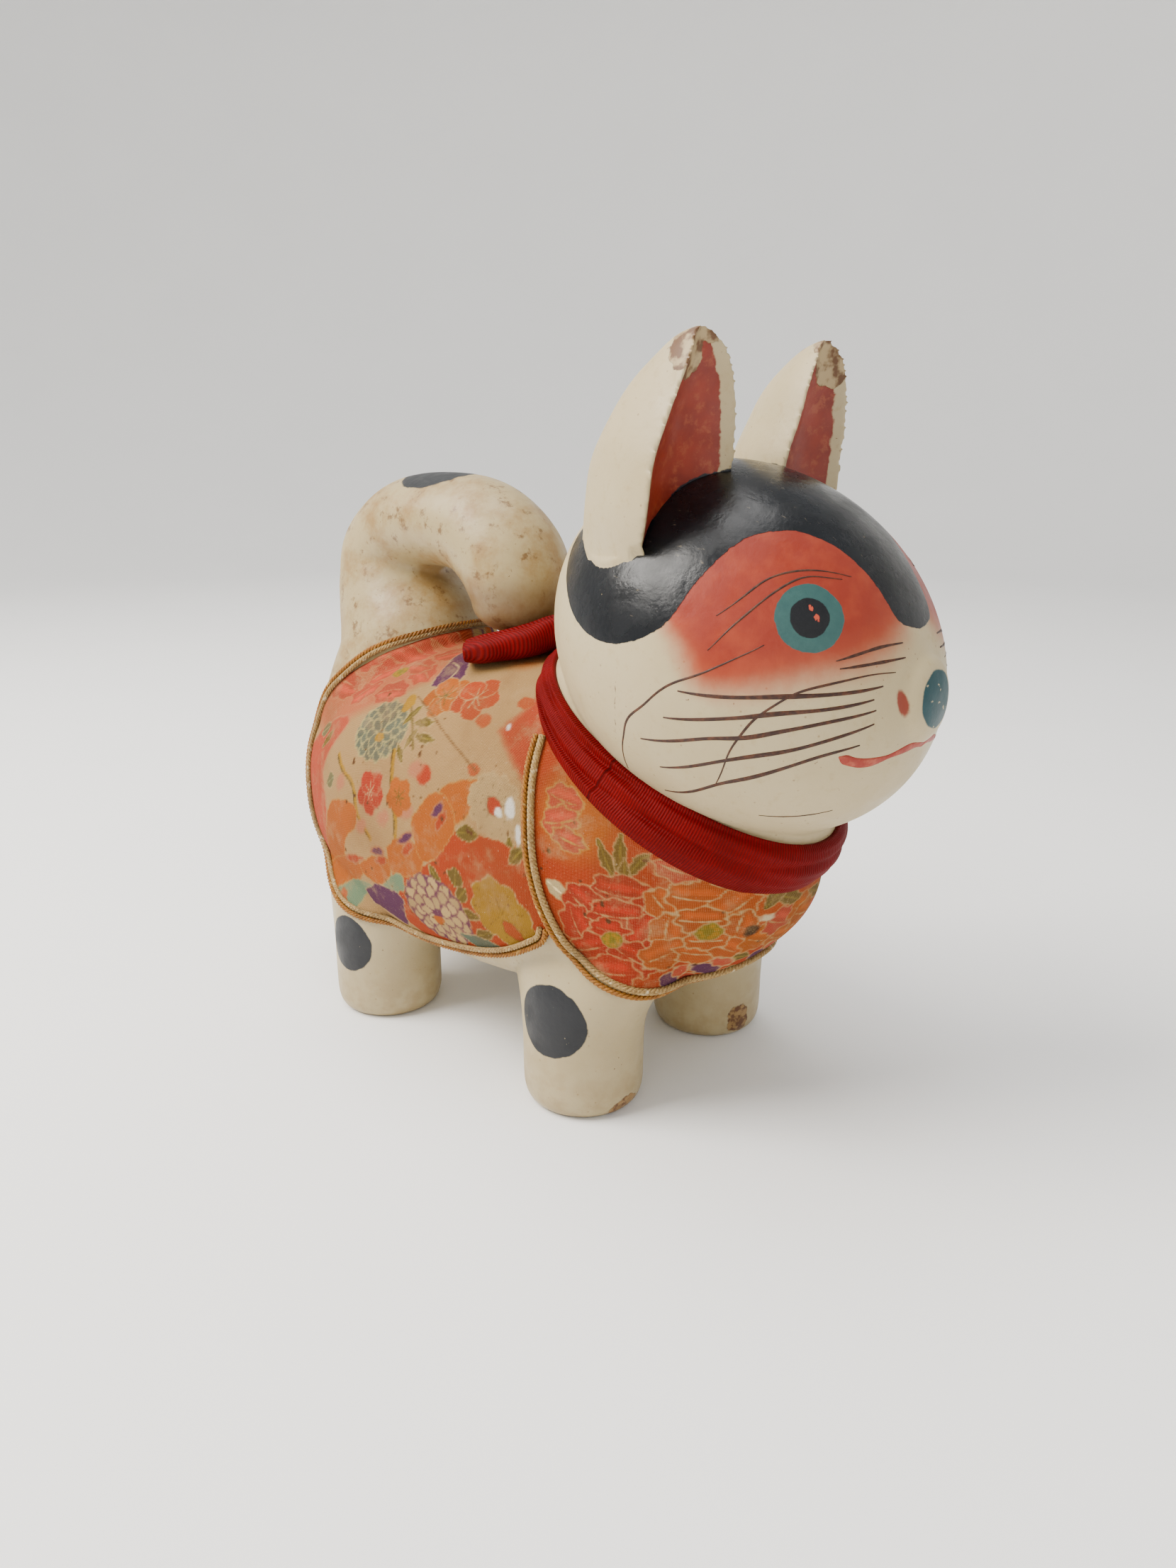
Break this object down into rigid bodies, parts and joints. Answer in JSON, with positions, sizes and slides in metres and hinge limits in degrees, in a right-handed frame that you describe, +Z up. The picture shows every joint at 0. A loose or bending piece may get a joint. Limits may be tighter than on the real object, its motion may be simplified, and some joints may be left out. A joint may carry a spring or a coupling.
{
  "type": "papier-mache dog figure",
  "caption": "Standing papier-mache dog with pricked ears and a curled tail, in a corded cloth coat with a ribbon tied at the neck.",
  "frame": {"origin": "on the ground under the middle of the figure's bounding box", "axes": "+Z up, the dog faces -Y, its right side is -X"},
  "size_m": [0.116, 0.2578, 0.232],
  "materials": {
    "painted_paper": "satin",
    "bare_paper": "matte",
    "coat_cloth": "matte",
    "gold_cord": "satin",
    "beige_cord": "satin",
    "red_ribbon": "satin"
  },
  "bodies": {
    "root": {"body_right_shell": "painted_paper", "body_left_shell": "painted_paper", "body_lap_strip": "bare_paper", "head_face_shell": "painted_paper", "head_back_shell": "painted_paper", "head_lap_strip": "bare_paper", "neck_collar": "bare_paper", "ear_right": "painted_paper", "ear_left": "painted_paper", "tail_right_shell": "painted_paper", "tail_left_shell": "painted_paper", "tail_lap_strip": "bare_paper", "coat_saddle": "coat_cloth", "coat_bib": "coat_cloth", "saddle_outer_cord": "gold_cord", "saddle_inner_cord": "beige_cord", "bib_outer_cord": "gold_cord", "bib_inner_cord": "beige_cord", "neck_ribbon": "red_ribbon", "bow_knot": "red_ribbon", "bow_loop_right": "red_ribbon", "bow_loop_left": "red_ribbon"}
  },
  "joints": []
}
